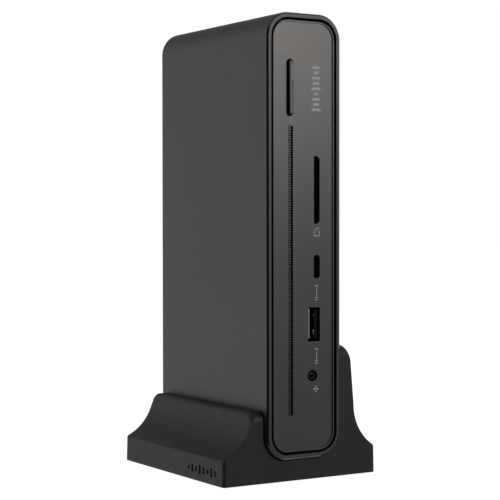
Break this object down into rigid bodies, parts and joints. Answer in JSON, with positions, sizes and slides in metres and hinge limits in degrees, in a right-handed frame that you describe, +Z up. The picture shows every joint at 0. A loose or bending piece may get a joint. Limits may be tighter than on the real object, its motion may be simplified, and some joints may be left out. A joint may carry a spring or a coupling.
{
  "type": "laptop docking station",
  "caption": "Slim upright docking unit with front and rear sockets, a long power button and an air slot, standing in a low moulded cradle.",
  "frame": {"origin": "on the desk, below the middle of the whole object", "axes": "+Z up, the front with the button and sockets faces -Y, +X to the right of someone facing the front"},
  "size_m": [0.0694, 0.0828, 0.1771],
  "materials": {
    "sleeve": "dark grey, satin",
    "front_panel": "dark warm grey, satin metallic",
    "front_carrier": "black, matt",
    "button": "grey metallic, satin",
    "light_window": "milky translucent",
    "rear_panel": "black, fine texture",
    "stand": "near black, fine moulded texture",
    "vent_mesh": "black paint on perforated sheet",
    "socket_steel": "nickel plated",
    "socket_plastic": "black moulded insulator",
    "contacts": "gold plated",
    "circuit_board": "green solder mask",
    "chip": "black moulded package",
    "thermal_pad": "grey-blue soft pad",
    "heat_sink": "mill finish",
    "capacitor": "shrink sleeve",
    "tray_steel": "zinc plated sheet",
    "screw_steel": "zinc plated",
    "base_steel": "black painted steel",
    "rubber": "matt",
    "ribbon": "polyester film"
  },
  "bodies": {
    "stand": {"cradle_pad_front": "rubber", "cradle_pad_left": "rubber", "cradle_pad_rear": "rubber", "cradle_pad_right": "rubber", "stand_base_plate": "base_steel", "stand_foot_left_front": "rubber", "stand_foot_left_rear": "rubber", "stand_foot_right_front": "rubber", "stand_foot_right_rear": "rubber", "stand_screw_left_front": "screw_steel", "stand_screw_left_rear": "screw_steel", "stand_screw_right_front": "screw_steel", "stand_screw_right_rear": "screw_steel", "stand_shell": "stand"},
    "dock_unit": {"audio_jack": "socket_plastic", "board_screw_front_lower": "screw_steel", "board_screw_front_upper": "screw_steel", "board_screw_rear_lower": "screw_steel", "board_screw_rear_upper": "screw_steel", "board_tray": "tray_steel", "capacitor_front": "capacitor", "capacitor_rear": "capacitor", "card_reader_cage": "socket_steel", "card_reader_contacts": "contacts", "front_carrier": "front_carrier", "front_large_socket": "socket_steel", "front_large_tongue": "socket_plastic", "front_panel": "front_panel", "front_small_socket": "socket_steel", "front_small_tongue": "socket_plastic", "front_vent_mesh": "vent_mesh", "heat_sink": "heat_sink", "host_socket": "socket_steel", "host_tongue": "socket_plastic", "housing_sleeve": "sleeve", "hub_chip": "chip", "hub_thermal_pad": "thermal_pad", "main_board": "circuit_board", "network_contacts": "contacts", "network_socket": "socket_steel", "power_inlet": "socket_plastic", "push_switch": "socket_plastic", "rear_large_socket_lower": "socket_steel", "rear_large_socket_upper": "socket_steel", "rear_panel": "rear_panel", "rear_screw_lower": "screw_steel", "rear_screw_upper": "screw_steel", "switch_board": "circuit_board", "switch_ribbon": "ribbon", "switch_screw_lower": "screw_steel", "switch_screw_upper": "screw_steel", "tall_video_socket_lower": "socket_steel", "tall_video_socket_upper": "socket_steel", "video_chip": "chip", "video_thermal_pad": "thermal_pad", "wide_video_socket": "socket_steel"},
    "power_button": {"power_button": "button", "power_light_window": "light_window", "switch_plunger": "socket_plastic"}
  },
  "joints": [
    {"name": "unit_lift", "type": "slide", "parent": "stand", "child": "dock_unit", "axis": [0, 0, 1], "range_m": [0, 0.06]},
    {"name": "power_button_press", "type": "slide", "parent": "dock_unit", "child": "power_button", "axis": [0, 1, 0], "range_m": [0, 0.0005], "stiffness_N_per_m": 600, "springref_m": -0.001}
  ]
}
